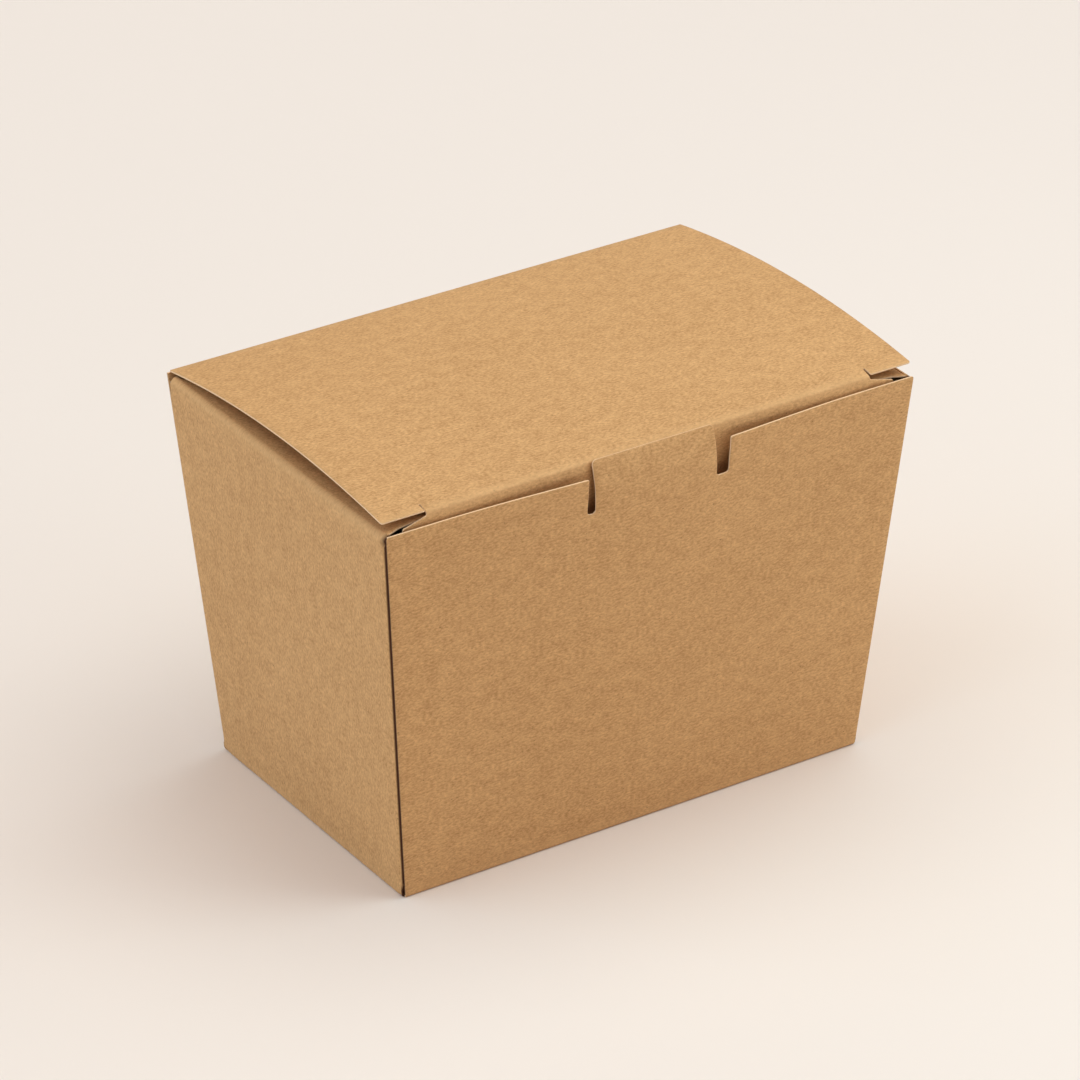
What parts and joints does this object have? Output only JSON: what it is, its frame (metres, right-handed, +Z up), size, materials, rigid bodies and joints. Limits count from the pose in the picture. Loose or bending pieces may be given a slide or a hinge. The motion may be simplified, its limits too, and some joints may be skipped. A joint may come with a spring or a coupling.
{
  "type": "toast box",
  "caption": "Tapered take-away carton folded from one sheet of kraft board, with a hinged, arched tuck lid that locks on a tongue in the front panel.",
  "frame": {"origin": "middle of the base, on the surface the carton stands on", "axes": "+Z up, +X along the carton's width, -Y out of the front panel with the tongue; the lid's hinge crease runs along X at the back"},
  "size_m": [0.1498, 0.1013, 0.109],
  "materials": {
    "kraft_board": "matt unbleached kraft board with fine visible fibres"
  },
  "bodies": {
    "carton": {"carton": "kraft_board"},
    "lid": {"lid": "kraft_board"}
  },
  "joints": [
    {"name": "lid_hinge", "type": "hinge", "parent": "carton", "child": "lid", "pos_m": [0, 0.0495, 0.10375], "axis": [-1, 0, 0], "range_deg": [0, 180]}
  ]
}
